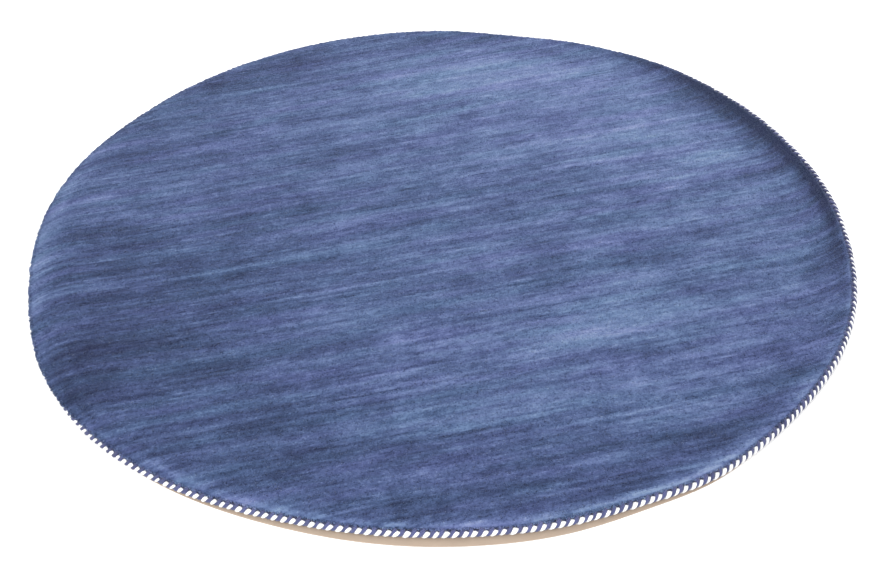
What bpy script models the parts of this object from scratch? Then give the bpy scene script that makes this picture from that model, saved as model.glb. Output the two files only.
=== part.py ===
"""Round gabbeh rug: a flat woven round of cut wool pile, an overcast cord round its rim, and an undyed
cloth under it.

Metres, +Z up. The origin is on the floor under the middle of the rug, and -Y is the rug's front, where
the cloth shows past the cord.
"""

import math
from collections import namedtuple

import bmesh
import bpy

# Driving sizes
RIM_RADIUS = 0.750
STEPS = 96
GAP = 0.0003

CLOTH_THICKNESS = 0.0020
CLOTH_INSET = 0.0080

CORD_HALF_WIDTH = 0.0065
CORD_HALF_HEIGHT = 0.0060
CORD_SIDES = 12

PILE_HEIGHT = 0.0205
FIELD_INSET = 0.110
SHOULDER_FADE = 0.085

RISE_RUN = 0.060

# Sizes that follow from them
LAY_HEIGHT = CLOTH_THICKNESS + GAP
CORD_HEIGHT = LAY_HEIGHT + CORD_HALF_HEIGHT
SEAM_INSET = 2 * CORD_HALF_WIDTH + GAP

# A lobe is a soft bulge of something round the rug: its direction and spread in degrees, counted from +X
# towards +Y, and its amount in metres.
Lobe = namedtuple("Lobe", "direction spread amount")

# How far the hand-cut outline leaves a true circle.
OUTLINE = (
    Lobe(-134, 18, 0.0170),
    Lobe(-118, 10, 0.0030),
    Lobe(-76, 9, 0.0040),
    Lobe(-60, 7, 0.0100),
    Lobe(-51, 8, 0.0050),
    Lobe(-30, 20, 0.0100),
    Lobe(4, 9, 0.0040),
    Lobe(8, 24, -0.0080),
    Lobe(47, 10, 0.0060),
    Lobe(76, 9, -0.0120),
    Lobe(142, 28, -0.0080),
    Lobe(190, 22, -0.0080),
)

# Where the tight overcasting turns the rim up from the floor.
RIM_RISE = (Lobe(22, 36, 0.010),)

# Where the pile rolls down to the rim over a wider shoulder.
WIDE_SHOULDER = (Lobe(187, 40, 0.022),)

# How much further the pile's lip hangs out over the cord than it does elsewhere.
OVERHANG = (Lobe(184, 34, 0.0055),)

# How far the cloth underneath reaches past its usual inset.
CLOTH_REACH = (Lobe(-89, 29, 0.0178),)

# A point of a section across the rim: how far it is in from the outline, and its height.
SectionPoint = namedtuple("SectionPoint", "inset height")

# The underside rings that the rug and the cloth share, so that they bend alike where the rim rises.
UNDERSIDE_INSETS = (RISE_RUN, 0.045, 0.030, SEAM_INSET)

# The pile's rounded shoulder, from its lip over the cord to its crest.
SHOULDER = (
    SectionPoint(0.0080, 0.0150),
    SectionPoint(0.0084, 0.0170),
    SectionPoint(0.0115, 0.0192),
    SectionPoint(0.0190, PILE_HEIGHT),
)
CREST_INSET = SHOULDER[-1].inset

# Everything above this height is pile that hangs over the cord or rises from it.
LIP_HEIGHT = SHOULDER[0].height - GAP

PILE_COLOUR = (0.075, 0.118, 0.300, 1.0)
CORD_COLOUR = (0.560, 0.580, 0.640, 1.0)
CLOTH_COLOUR = (0.560, 0.450, 0.350, 1.0)


def clear_scene():
    """Remove whatever the scene holds."""
    for found in list(bpy.data.objects):
        bpy.data.objects.remove(found, do_unlink=True)


def new_material(name, colour, roughness):
    """A matt Principled material of one colour."""
    material = bpy.data.materials.new(name)
    material.use_nodes = True
    shader = material.node_tree.nodes["Principled BSDF"]
    shader.inputs["Base Color"].default_value = colour
    shader.inputs["Roughness"].default_value = roughness
    shader.inputs["Metallic"].default_value = 0.0
    return material


def lobe_sum(lobes, direction):
    """The lobes' amounts added up in one direction, each fading to both sides."""
    total = 0.0
    for lobe in lobes:
        away = (direction - lobe.direction + 180.0) % 360.0 - 180.0
        total += lobe.amount * math.exp(-((away / lobe.spread) ** 2))
    return total


def crest_share(inset):
    """How far a point has come from the pile's lip, 0, to its crest, 1."""
    return max(0.0, (inset - SHOULDER[0].inset) / (CREST_INSET - SHOULDER[0].inset))


def shoulder_share(inset):
    """How much of the wider shoulder a point takes: none at the lip, all at the crest, none in the field."""
    if inset < CREST_INSET:
        return crest_share(inset)
    return max(0.0, 1.0 - (inset - CREST_INSET) / SHOULDER_FADE)


def overhang_share(inset):
    """How much of the overhang a point takes: all at the lip, none from the crest inwards."""
    return max(0.0, 1.0 - crest_share(inset))


def settle(mesh, reach=()):
    """Give a true round its uneven outline, its wider shoulder and its risen rim."""
    for vert in mesh.verts:
        direction = math.degrees(math.atan2(vert.co.y, vert.co.x))
        inset = RIM_RADIUS - math.hypot(vert.co.x, vert.co.y)
        inwards = 0.0
        if vert.co.z > LIP_HEIGHT:
            inwards = lobe_sum(WIDE_SHOULDER, direction) * shoulder_share(inset)
            inwards -= lobe_sum(OVERHANG, direction) * overhang_share(inset)
        outwards = lobe_sum(reach, direction) if inset < SEAM_INSET else 0.0
        spread = (RIM_RADIUS + lobe_sum(OUTLINE, direction)) / RIM_RADIUS
        radius = (RIM_RADIUS - inset - inwards) * spread + outwards
        angle = math.radians(direction)
        vert.co.x = radius * math.cos(angle)
        vert.co.y = radius * math.sin(angle)
        vert.co.z += lobe_sum(RIM_RISE, direction) * max(0.0, 1.0 - inset / RISE_RUN) ** 2


def turned(name, section, material, closed=False, reach=()):
    """Turn a section about the rug's middle, close what it leaves open with flat faces, and settle it."""
    mesh = bmesh.new()
    points = [mesh.verts.new((RIM_RADIUS - point.inset, 0.0, point.height)) for point in section]
    followers = points[1:] + points[:1] if closed else points[1:]
    edges = [mesh.edges.new(pair) for pair in zip(points, followers)]
    bmesh.ops.spin(
        mesh,
        geom=points + edges,
        cent=(0.0, 0.0, 0.0),
        axis=(0.0, 0.0, 1.0),
        angle=math.tau,
        steps=STEPS,
        use_merge=True,
    )
    rims = [edge for edge in mesh.edges if edge.is_boundary]
    bmesh.ops.holes_fill(mesh, edges=rims, sides=0)
    settle(mesh, reach)
    bmesh.ops.recalc_face_normals(mesh, faces=mesh.faces)
    data = bpy.data.meshes.new(name)
    mesh.to_mesh(data)
    mesh.free()
    data.materials.append(material)
    data.shade_smooth()
    data.set_sharp_from_angle(angle=math.radians(40.0))
    return bpy.data.objects.new(name, data)


def backing_cloth():
    """The undyed cloth that the rug lies on: one thin sheet, which reaches past the cord at the front."""
    insets = UNDERSIDE_INSETS + (CLOTH_INSET,)
    under = [SectionPoint(inset, 0.0) for inset in insets]
    over = [SectionPoint(inset, CLOTH_THICKNESS) for inset in reversed(insets)]
    material = new_material("canvas_plain", CLOTH_COLOUR, 0.9)
    return turned("backing_cloth", under + over, material, reach=CLOTH_REACH)


def edge_binding():
    """The overcast cord round the whole rim, an upright oval in section."""
    section = []
    for side in range(CORD_SIDES):
        angle = math.tau * side / CORD_SIDES
        inset = CORD_HALF_WIDTH * (1.0 - math.cos(angle))
        section.append(SectionPoint(inset, CORD_HEIGHT + CORD_HALF_HEIGHT * math.sin(angle)))
    return turned("edge_binding", section, new_material("yarn_overcast", CORD_COLOUR, 0.85), closed=True)


def cord_seat():
    """The rug's side where it meets the cord: the cord's inner upper quarter, a gap away."""
    seat = []
    for angle in (180.0, 160.0, 140.0, 120.0, 100.0):
        turn = math.radians(angle)
        inset = CORD_HALF_WIDTH - (CORD_HALF_WIDTH + GAP) * math.cos(turn)
        seat.append(SectionPoint(inset, CORD_HEIGHT + (CORD_HALF_HEIGHT + GAP) * math.sin(turn)))
    return seat


def pile_field():
    """The rug: its woven ground and cut pile as one flat solid with a rounded shoulder."""
    under = [SectionPoint(inset, LAY_HEIGHT) for inset in UNDERSIDE_INSETS]
    top_insets = (0.030, 0.045, RISE_RUN, 0.080, FIELD_INSET)
    top = [SectionPoint(inset, PILE_HEIGHT) for inset in top_insets]
    section = under + cord_seat() + list(SHOULDER) + top
    return turned("pile_field", section, new_material("wool_pile", PILE_COLOUR, 0.95))


def main():
    """Build the rug's pieces into a collection of their own."""
    clear_scene()
    rug = bpy.data.collections.new("gabbeh_rug")
    bpy.context.scene.collection.children.link(rug)
    for piece in (backing_cloth(), edge_binding(), pile_field()):
        rug.objects.link(piece)


main()
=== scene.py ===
"""Looks of a round gabbeh rug: its cut wool pile in uneven blue rows, the two-yarn overcasting round its
rim and the undyed cloth under it."""

import logging
import math
from collections.abc import Iterator
from contextlib import contextmanager
from dataclasses import dataclass, field
from enum import Enum
from typing import NamedTuple

import bmesh
import bpy
import numpy as np
from mathutils import Matrix, Vector


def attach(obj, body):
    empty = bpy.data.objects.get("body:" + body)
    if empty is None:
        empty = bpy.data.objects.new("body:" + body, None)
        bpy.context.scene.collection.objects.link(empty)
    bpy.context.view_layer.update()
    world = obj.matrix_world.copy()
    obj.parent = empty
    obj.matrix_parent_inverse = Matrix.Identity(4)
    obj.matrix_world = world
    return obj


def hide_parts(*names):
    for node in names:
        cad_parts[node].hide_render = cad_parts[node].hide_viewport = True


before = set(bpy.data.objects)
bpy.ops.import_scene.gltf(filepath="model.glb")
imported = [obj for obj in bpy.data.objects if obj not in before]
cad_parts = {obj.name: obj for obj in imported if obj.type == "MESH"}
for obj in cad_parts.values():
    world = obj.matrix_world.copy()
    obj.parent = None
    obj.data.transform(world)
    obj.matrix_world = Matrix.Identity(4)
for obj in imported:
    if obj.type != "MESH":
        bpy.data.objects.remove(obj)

LOG = logging.getLogger("gabbeh")
BODY = "root"

Colour = tuple[float, float, float, float]
Socket = bpy.types.NodeSocket
Source = Socket | float | Colour
UNTINTED: Colour = (1.0, 1.0, 1.0, 1.0)

# How much brighter than its own colour a surface looks under this studio's light.
LIT_LEVEL = 1.95

def seen_as(red: int, green: int, blue: int) -> Colour:
    """The surface colour that is seen as a screen colour under this studio's light.

    Args:
        red: Screen red, 0 to 255.
        green: Screen green, 0 to 255.
        blue: Screen blue, 0 to 255.

    Returns:
        The linear colour with full alpha.
    """
    parts = []
    for value in (red, green, blue):
        share = value / 255.0
        linear = share / 12.92 if share <= 0.04045 else ((share + 0.055) / 1.055) ** 2.4
        parts.append(linear / LIT_LEVEL)
    return (*parts, 1.0)


def heading(direction: np.ndarray) -> np.ndarray:
    """The flat unit vectors of some directions in degrees, a row of two for each."""
    angle = np.radians(direction)
    return np.stack([np.cos(angle), np.sin(angle)], axis=-1)


def direction_of(points: np.ndarray) -> np.ndarray:
    """The directions of some points from the rug's middle, in degrees."""
    return np.degrees(np.arctan2(points[:, 1], points[:, 0]))


@dataclass(frozen=True)
class Lobe:
    """A soft bulge of something round the rug.

    Attributes:
        direction: Where it is, in degrees from +X towards +Y.
        spread: How far it spreads to each side, in degrees.
        amount: How much of it there is at its middle.
    """

    direction: float
    spread: float
    amount: float

    def at(self, direction: np.ndarray) -> np.ndarray:
        """The lobe's share in some directions."""
        away = (direction - self.direction + 180.0) % 360.0 - 180.0
        return self.amount * np.exp(-((away / self.spread) ** 2))


def lobe_sum(lobes: tuple[Lobe, ...], direction: np.ndarray) -> np.ndarray:
    """Several lobes added up in some directions."""
    return sum((lobe.at(direction) for lobe in lobes), np.zeros_like(direction))


class SoftNoise:
    """Smooth random values on a wrapped lattice, the same on each run."""

    SIDE = 256

    def __init__(self, seed: int) -> None:
        """Draw the lattice's values."""
        self.values = np.random.default_rng(seed).uniform(-1.0, 1.0, (self.SIDE, self.SIDE))

    def at(self, across: np.ndarray, along: np.ndarray) -> np.ndarray:
        """The noise at some places, from -1 to 1.

        Args:
            across: First coordinate, one lattice cell a unit.
            along: Second coordinate, one lattice cell a unit.

        Returns:
            One value for each place.
        """
        low_a = np.floor(across).astype(int)
        low_b = np.floor(along).astype(int)
        part_a = self._eased(across - low_a)
        part_b = self._eased(along - low_b)
        here_a = low_a % self.SIDE
        here_b = low_b % self.SIDE
        next_a = (here_a + 1) % self.SIDE
        next_b = (here_b + 1) % self.SIDE
        near = self.values[here_a, here_b] * (1.0 - part_a) + self.values[next_a, here_b] * part_a
        far = self.values[here_a, next_b] * (1.0 - part_a) + self.values[next_a, next_b] * part_a
        return near * (1.0 - part_b) + far * part_b

    def _eased(self, part: np.ndarray) -> np.ndarray:
        """A share that starts and ends level."""
        return part * part * (3.0 - 2.0 * part)


@dataclass(frozen=True)
class Wave:
    """A layer of soft random unevenness round the rug, with no seam.

    Attributes:
        spacing: About how many degrees apart it changes.
        seed: Which random numbers to draw.
        strength: How much of it is added.
        drift: How far it moves a line, in metres.
    """

    spacing: float
    seed: int
    strength: float
    drift: float = 0.0

    def at(self, direction: np.ndarray) -> np.ndarray:
        """The wave's value in some directions, from -1 to 1."""
        around = heading(direction) * (math.degrees(1.0) / self.spacing)
        return SoftNoise(self.seed).at(around[..., 0], around[..., 1])


@dataclass(frozen=True)
class Pull:
    """Where the rows are drawn aside near the rim.

    Attributes:
        where: Its direction and spread, and how far the rows are drawn.
        run: How far in from the outline it reaches.
    """

    where: Lobe
    run: float


@dataclass(frozen=True)
class RugForm:
    """The rug's own sizes in metres, and how its rim leaves a true flat round.

    Attributes:
        radius: The true round's radius, from which insets are counted.
        cloth_top: How thick the cloth underneath is.
        gap: How far apart the rug's pieces lie.
        cord_half_width: Half the overcast cord's width.
        cord_half_height: Half its height.
        lip_inset: How far in the pile's lip is where nothing moves it.
        lip_height: The lip's height above the floor.
        lip_unevenness: How far the lip wanders.
        lip_waves: The waves that it wanders in.
        crest_inset: Where the pile's shoulder has reached its full height.
        pile_height: The pile's height above the floor.
        slope_step: How far to each side of a place the pile's slope is taken.
        slope_limits: The least and steepest slope that counts.
        rise_run: How far in from the outline the turned-up rim reaches.
        underside_insets: How far in the rings are on which the underside bends with the rim.
        row_turn: How far the rows are turned from +X, in degrees.
        row_fan: How much wider apart they lie further along, as a share for each metre.
        outline: How far the outline leaves the true round.
        rise: How far the rim is turned up.
        wide_shoulder: How much further in the pile's shoulder reaches.
        overhang: How much further out the lip hangs.
        pulls: Where the rows are drawn aside.
    """

    radius: float = 0.750
    cloth_top: float = 0.0020
    gap: float = 0.0003
    cord_half_width: float = 0.0065
    cord_half_height: float = 0.0060
    lip_inset: float = 0.0080
    lip_height: float = 0.0165
    lip_unevenness: float = 0.0010
    lip_waves: tuple[Wave, ...] = (Wave(1.1, 31, 1.0), Wave(0.45, 32, 0.6))
    crest_inset: float = 0.0190
    pile_height: float = 0.0205
    slope_step: float = 0.0005
    slope_limits: tuple[float, float] = (-1.0, 2.5)
    rise_run: float = 0.060
    underside_insets: tuple[float, ...] = (0.030, 0.045)
    row_turn: float = 15.5
    row_fan: float = 0.09
    outline: tuple[Lobe, ...] = (
        Lobe(-134, 18, 0.0170),
        Lobe(-118, 10, 0.0030),
        Lobe(-76, 9, 0.0040),
        Lobe(-60, 7, 0.0100),
        Lobe(-51, 8, 0.0050),
        Lobe(-30, 20, 0.0100),
        Lobe(4, 9, 0.0040),
        Lobe(8, 24, -0.0080),
        Lobe(47, 10, 0.0060),
        Lobe(76, 9, -0.0120),
        Lobe(142, 28, -0.0080),
        Lobe(190, 22, -0.0080),
    )
    rise: tuple[Lobe, ...] = (Lobe(22, 36, 0.010),)
    wide_shoulder: tuple[Lobe, ...] = (Lobe(187, 40, 0.022),)
    overhang: tuple[Lobe, ...] = (
        Lobe(182, 26, 0.0060),
        Lobe(213, 11, 0.0066),
        Lobe(12, 44, -0.0065),
        Lobe(150, 8, -0.0035),
    )
    pulls: tuple[Pull, ...] = (
        Pull(Lobe(190, 44, 0.038), 0.080),
        Pull(Lobe(198, 38, -0.020), 0.300),
        Pull(Lobe(0, 42, -0.042), 0.110),
    )

    @property
    def lay_height(self) -> float:
        """The height of the rug's own underside, on its cloth."""
        return self.cloth_top + self.gap

    @property
    def cord_height(self) -> float:
        """The height of the overcast cord's middle."""
        return self.lay_height + self.cord_half_height

    @property
    def cord_width(self) -> float:
        """How wide the overcast cord is."""
        return 2 * self.cord_half_width

    def stretch(self, direction: np.ndarray) -> np.ndarray:
        """How many times its true round the outline is in some directions."""
        return (self.radius + lobe_sum(self.outline, direction)) / self.radius

    def lift(self, direction: np.ndarray, inset: np.ndarray) -> np.ndarray:
        """How far the rim is turned up from the floor, in some directions and at some insets."""
        nearness = np.clip(1.0 - inset / self.rise_run, 0.0, None)
        return lobe_sum(self.rise, direction) * nearness**2

    def place(self, direction: np.ndarray, inset: np.ndarray, height: np.ndarray) -> np.ndarray:
        """Turn places on the rim's section into points.

        Args:
            direction: Directions in degrees.
            inset: Distances in from the outline.
            height: Heights on the flat rug.

        Returns:
            The points, a row of three for each place.
        """
        radius = (self.radius - inset) * self.stretch(direction)
        flat = heading(direction) * radius[:, None]
        return np.column_stack([flat, height + self.lift(direction, inset)])

    def lip(self, direction: np.ndarray) -> np.ndarray:
        """How far in from the outline the pile's lip hangs over the cord, in some directions."""
        wander = sum(wave.strength * wave.at(direction) for wave in self.lip_waves)
        return self.lip_inset - lobe_sum(self.overhang, direction) + self.lip_unevenness * wander

    def pile_top(self, direction: np.ndarray, inset: np.ndarray) -> np.ndarray:
        """The height of the pile's rounded shoulder and flat field, before any relief.

        Args:
            direction: Directions in degrees.
            inset: Distances in from the outline.

        Returns:
            One height for each place.
        """
        lip = self.lip(direction)
        run = self.crest_inset + lobe_sum(self.wide_shoulder, direction) - lip
        share = np.clip((inset - lip) / run, 0.0, 1.0)
        bow = np.sqrt(np.clip(1.0 - (1.0 - share) ** 2, 0.0, None))
        return self.lip_height + (self.pile_height - self.lip_height) * bow

    def pile_slope(self, direction: np.ndarray, inset: np.ndarray) -> np.ndarray:
        """How steeply the pile's top climbs inwards.

        Args:
            direction: Directions in degrees.
            inset: Distances in from the outline.

        Returns:
            One slope for each place.
        """
        step = self.slope_step
        ahead = self.pile_top(direction, inset + step) + self.lift(direction, inset + step)
        behind = self.pile_top(direction, inset - step) + self.lift(direction, inset - step)
        return np.clip((ahead - behind) / (2 * step), *self.slope_limits)

    def polar(self, points: np.ndarray) -> tuple[np.ndarray, np.ndarray]:
        """The direction of some points in degrees, and how far in they are from the outline."""
        direction = direction_of(points)
        return direction, self.radius - np.hypot(points[:, 0], points[:, 1]) / self.stretch(direction)

    def true_polar(self, points: np.ndarray) -> tuple[np.ndarray, np.ndarray]:
        """The same for points on a true round, before its outline is uneven."""
        return direction_of(points), self.radius - np.hypot(points[:, 0], points[:, 1])

    def flat(self, along: np.ndarray, across: np.ndarray) -> np.ndarray:
        """Turn places on straight rows into flat points.

        Args:
            along: Lengths along the rows.
            across: Lengths across them.

        Returns:
            The points, a row of two for each place.
        """
        turn = math.radians(self.row_turn)
        flat_x = along * math.cos(turn) - across * math.sin(turn)
        return np.stack([flat_x, along * math.sin(turn) + across * math.cos(turn)], axis=-1)

    def rows(self, points: np.ndarray) -> np.ndarray:
        """Where some points are on the loom: along the rows and across them.

        The rows fan out a little over the field, and the overcasting pulls their ends aside.

        Args:
            points: Places on the rug, a row of two or more for each.

        Returns:
            Two lengths in metres for each place.
        """
        turn = math.radians(self.row_turn)
        direction, inset = self.polar(points)
        along = points[:, 0] * math.cos(turn) + points[:, 1] * math.sin(turn)
        across = -points[:, 0] * math.sin(turn) + points[:, 1] * math.cos(turn)
        across -= self.row_fan * along * across
        for pull in self.pulls:
            across += pull.where.at(direction) * np.clip(1.0 - inset / pull.run, 0.0, 1.0) ** 2
        return np.stack([along, across], axis=-1)


def points_of(mesh: bpy.types.Mesh) -> np.ndarray:
    """A mesh's vertices.

    Args:
        mesh: The mesh to read.

    Returns:
        The vertices' places, a row of three for each.
    """
    flat = np.empty(len(mesh.vertices) * 3, dtype=np.float32)
    mesh.vertices.foreach_get("co", flat)
    return flat.reshape(-1, 3).astype(float)


def move_points(mesh: bpy.types.Mesh, points: np.ndarray) -> None:
    """Put a mesh's vertices at new points."""
    mesh.vertices.foreach_set("co", points.astype(np.float32).ravel())
    mesh.update()


def lay_map(mesh: bpy.types.Mesh, name: str, places: np.ndarray) -> None:
    """Give a mesh a UV map from a pair of lengths for each vertex.

    Args:
        mesh: The mesh to map.
        name: The map's name.
        places: Two lengths for each vertex.
    """
    corners = np.empty(len(mesh.loops), dtype=np.int32)
    mesh.loops.foreach_get("vertex_index", corners)
    layer = mesh.uv_layers.new(name=name, do_init=False)
    layer.uv.foreach_set("vector", places[corners].astype(np.float32).ravel())


def lay_values(mesh: bpy.types.Mesh, name: str, values: np.ndarray) -> None:
    """Give a mesh one named number for each vertex."""
    mesh.attributes.new(name, "FLOAT", "POINT").data.foreach_set("value", values.astype(np.float32))


def as_mesh(body: bmesh.types.BMesh, name: str) -> bpy.types.Mesh:
    """Turn a bmesh into a mesh.

    Args:
        body: The bmesh, which is freed.
        name: The mesh's name.

    Returns:
        The mesh.
    """
    mesh = bpy.data.meshes.new(name)
    body.to_mesh(mesh)
    body.free()
    return mesh


@contextmanager
def opened(mesh: bpy.types.Mesh) -> Iterator[bmesh.types.BMesh]:
    """Open a mesh as a bmesh to reshape it, and put it back at the end.

    Args:
        mesh: The mesh to reshape.

    Yields:
        The bmesh.
    """
    body = bmesh.new()
    body.from_mesh(mesh)
    yield body
    body.to_mesh(mesh)
    body.free()


def turned(section: bmesh.types.BMesh, steps: int, name: str) -> bpy.types.Mesh:
    """Turn a section about the rug's middle, and close what it leaves open with flat faces.

    Args:
        section: The section's points and edges, which are freed.
        steps: How many steps the full turn has.
        name: The mesh's name.

    Returns:
        The closed mesh.
    """
    bmesh.ops.spin(
        section, geom=section.verts[:] + section.edges[:], cent=(0, 0, 0), axis=(0, 0, 1),
        angle=math.tau, steps=steps, use_merge=True,
    )
    bmesh.ops.holes_fill(section, edges=[edge for edge in section.edges if edge.is_boundary], sides=0)
    bmesh.ops.recalc_face_normals(section, faces=section.faces)
    return as_mesh(section, name)


def arrayed(template: bmesh.types.BMesh, count: int, stride: float) -> bpy.types.Mesh:
    """Join many copies of a small shape, side by side along X.

    Args:
        template: The shape, which is freed.
        count: How many copies.
        stride: How far apart they lie.

    Returns:
        The joined mesh.
    """
    small = as_mesh(template, "array_template")
    holder = bpy.data.objects.new("array_holder", small)
    bpy.context.scene.collection.objects.link(holder)
    rank = holder.modifiers.new("rank", "ARRAY")
    rank.count = count
    rank.use_relative_offset = False
    rank.use_constant_offset = True
    rank.constant_offset_displace = (stride, 0.0, 0.0)
    graph = bpy.context.evaluated_depsgraph_get()
    joined = bpy.data.meshes.new_from_object(holder.evaluated_get(graph))
    bpy.data.objects.remove(holder, do_unlink=True)
    bpy.data.meshes.remove(small)
    return joined


def shown(name: str, mesh: bpy.types.Mesh) -> bpy.types.Object:
    """Put a mesh into the scene as a smooth object at the origin.

    Args:
        name: The object's name.
        mesh: Its mesh.

    Returns:
        The object.
    """
    mesh.name = name
    piece = bpy.data.objects.new(name, mesh)
    bpy.context.scene.collection.objects.link(piece)
    mesh.shade_smooth()
    return piece


def riding(piece: bpy.types.Object, material: bpy.types.Material) -> bpy.types.Object:
    """Dress a piece, and let it go with the rug.

    Args:
        piece: The piece.
        material: The piece's finish.

    Returns:
        The piece.
    """
    piece.data.materials.clear()
    piece.data.materials.append(material)
    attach(piece, BODY)
    return piece


class Stop(NamedTuple):
    """A colour's place on a ramp."""

    at: float
    colour: Colour


@dataclass(frozen=True)
class Streak:
    """One layer of unevenness in wool or cloth.

    Attributes:
        length: Its grain along the first coordinate, in metres.
        width: Its grain along the second.
        weight: How much of it there is.
        detail: How many finer layers it holds.
        bumps: How much it roughens the surface.
    """

    length: float
    width: float
    weight: float
    detail: float = 2.0
    bumps: float = 0.0


@dataclass(frozen=True)
class Thread:
    """Yarn that keeps one shade for a while along single rows.

    Attributes:
        length: How long it keeps a shade, in metres.
        pitch: How wide a row is.
        weight: How much of it there is.
        edge: Only shades further than this from the middle show.
    """

    length: float
    pitch: float
    weight: float
    edge: float = 0.0


@dataclass(frozen=True)
class Spacing:
    """Where a kind of layer starts in the noise, and how far on each next one is, so that all differ."""

    start: float
    step: float

    def of(self, number: int) -> float:
        """The shift of a layer."""
        return self.start + self.step * number


class Shader:
    """A material's node tree, with short calls to fill it."""

    GLOSS = 0.15
    SHEEN_ROUGHNESS = 0.45

    # How far apart in the noise two neighbouring rows are read, so that they differ.
    ROW_JUMP = 7.37

    # How much less a shift moves the noise's second coordinate than its first, off the diagonal.
    SHIFT_ASIDE = 0.7

    # How far apart a Wave node's bands are at a scale of 1.
    BAND_SPACING = 0.314

    def __init__(self, name: str) -> None:
        """Start a Principled material.

        Args:
            name: The material's name.
        """
        self.material = bpy.data.materials.new(name)
        self.material.use_nodes = True
        self.tree = self.material.node_tree
        self.surface = self.tree.nodes["Principled BSDF"]

    def node(self, kind: str, **settings: object) -> bpy.types.Node:
        """Add a node.

        Args:
            kind: The node's type name, less its common start.
            **settings: Properties of the node to set.

        Returns:
            The node.
        """
        made = self.tree.nodes.new("ShaderNode" + kind)
        for name, value in settings.items():
            setattr(made, name, value)
        return made

    def feed(self, source: Source, target: Socket) -> None:
        """Link a socket to another, or set its value.

        Args:
            source: A socket, or a value.
            target: The socket that takes it.
        """
        if isinstance(source, Socket):
            self.tree.links.new(source, target)
        else:
            target.default_value = source

    def maths(self, operation: str, first: Source, second: Source = 0.0) -> Socket:
        """One sum on sockets or numbers.

        Args:
            operation: The Math node's operation.
            first: Its first number or socket.
            second: Its second.

        Returns:
            The result's socket.
        """
        made = self.node("Math", operation=operation)
        self.feed(first, made.inputs[0])
        self.feed(second, made.inputs[1])
        return made.outputs[0]

    def sum(self, first: Source, second: Source) -> Socket:
        """Add two sockets or numbers."""
        return self.maths("ADD", first, second)

    def times(self, first: Source, second: Source) -> Socket:
        """Multiply two sockets or numbers."""
        return self.maths("MULTIPLY", first, second)

    def swayed(self, share: Source, noise: Socket, weight: float) -> Socket:
        """Add a noise to a share in its weight, counted from the noise's middle."""
        return self.sum(share, self.times(self.sum(noise, -0.5), weight))

    def map(self, name: str) -> Socket:
        """The coordinates of a named UV map."""
        return self.node("UVMap", uv_map=name).outputs["UV"]

    def value(self, name: str) -> Socket:
        """A named number that the mesh holds for each vertex."""
        return self.node("Attribute", attribute_name=name).outputs["Fac"]

    def _noise_at(self, where: Socket, detail: float) -> Socket:
        """Noise with a grain of 1 at some coordinates, about 0.5.

        Args:
            where: Coordinates in grains.
            detail: How many finer layers it holds.

        Returns:
            The noise's socket.
        """
        made = self.node("TexNoise")
        self.feed(where, made.inputs["Vector"])
        made.inputs["Scale"].default_value = 1.0
        made.inputs["Detail"].default_value = detail
        return made.outputs["Fac"]

    def noise(self, where: Socket, streak: Streak, shift: float) -> Socket:
        """Stretched noise of a real size.

        Args:
            where: Coordinates in metres.
            streak: The layer whose grain it has.
            shift: Moves the pattern, so that two noises differ.

        Returns:
            The noise, about 0.5.
        """
        mapping = self.node("Mapping")
        mapping.inputs["Scale"].default_value = (1.0 / streak.length, 1.0 / streak.width, 1.0)
        mapping.inputs["Location"].default_value = (shift, shift * self.SHIFT_ASIDE, shift)
        self.feed(where, mapping.inputs["Vector"])
        return self._noise_at(mapping.outputs[0], streak.detail)

    def row_noise(self, where: Socket, thread: Thread, shift: float) -> Socket:
        """Noise that changes along each row, and holds one value across it.

        Args:
            where: Coordinates in metres, along the rows and across them.
            thread: The yarn whose length and pitch it has.
            shift: Moves the pattern, so that two noises differ.

        Returns:
            The noise, about 0.5.
        """
        parts = self.node("SeparateXYZ")
        self.feed(where, parts.inputs[0])
        number = self.maths("ROUND", self.maths("DIVIDE", parts.outputs["Y"], thread.pitch))
        place = self.node("CombineXYZ")
        along = self.maths("DIVIDE", parts.outputs["X"], thread.length)
        self.feed(self.sum(along, shift), place.inputs["X"])
        self.feed(self.times(number, self.ROW_JUMP), place.inputs["Y"])
        return self._noise_at(place.outputs[0], 1.0)

    def tails(self, noise: Socket, edge: float) -> Socket:
        """How far a noise goes past an edge to either side of its middle.

        Args:
            noise: The noise, about 0.5.
            edge: How far from its middle nothing is left of it.

        Returns:
            What is left of it, about 0.
        """
        offset = self.sum(noise, -0.5)
        held = self.maths("MINIMUM", self.maths("MAXIMUM", offset, -edge), edge)
        return self.maths("SUBTRACT", offset, held)

    def bands(self, where: Socket, direction: str, spacing: float, swirl: float, detail: float) -> Socket:
        """Even bands across one coordinate.

        Args:
            where: Coordinates in metres.
            direction: The coordinate's letter.
            spacing: How far apart the bands are, in metres.
            swirl: How far they waver.
            detail: How finely they waver.

        Returns:
            The bands, 0 to 1.
        """
        made = self.node("TexWave", wave_type="BANDS", bands_direction=direction)
        made.inputs["Scale"].default_value = self.BAND_SPACING / spacing
        made.inputs["Distortion"].default_value = swirl
        made.inputs["Detail"].default_value = detail
        self.feed(where, made.inputs["Vector"])
        return made.outputs["Fac"]

    def ramp(self, share: Socket, stops: tuple[Stop, ...]) -> Socket:
        """Colours along a share.

        Args:
            share: The share, 0 to 1.
            stops: The colours and their places.

        Returns:
            The colour's socket.
        """
        made = self.node("ValToRGB")
        elements = made.color_ramp.elements
        while len(elements) < len(stops):
            elements.new(0.5)
        for element, stop in zip(elements, stops):
            element.position = stop.at
            element.color = stop.colour
        self.feed(share, made.inputs["Fac"])
        return made.outputs["Color"]

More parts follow.
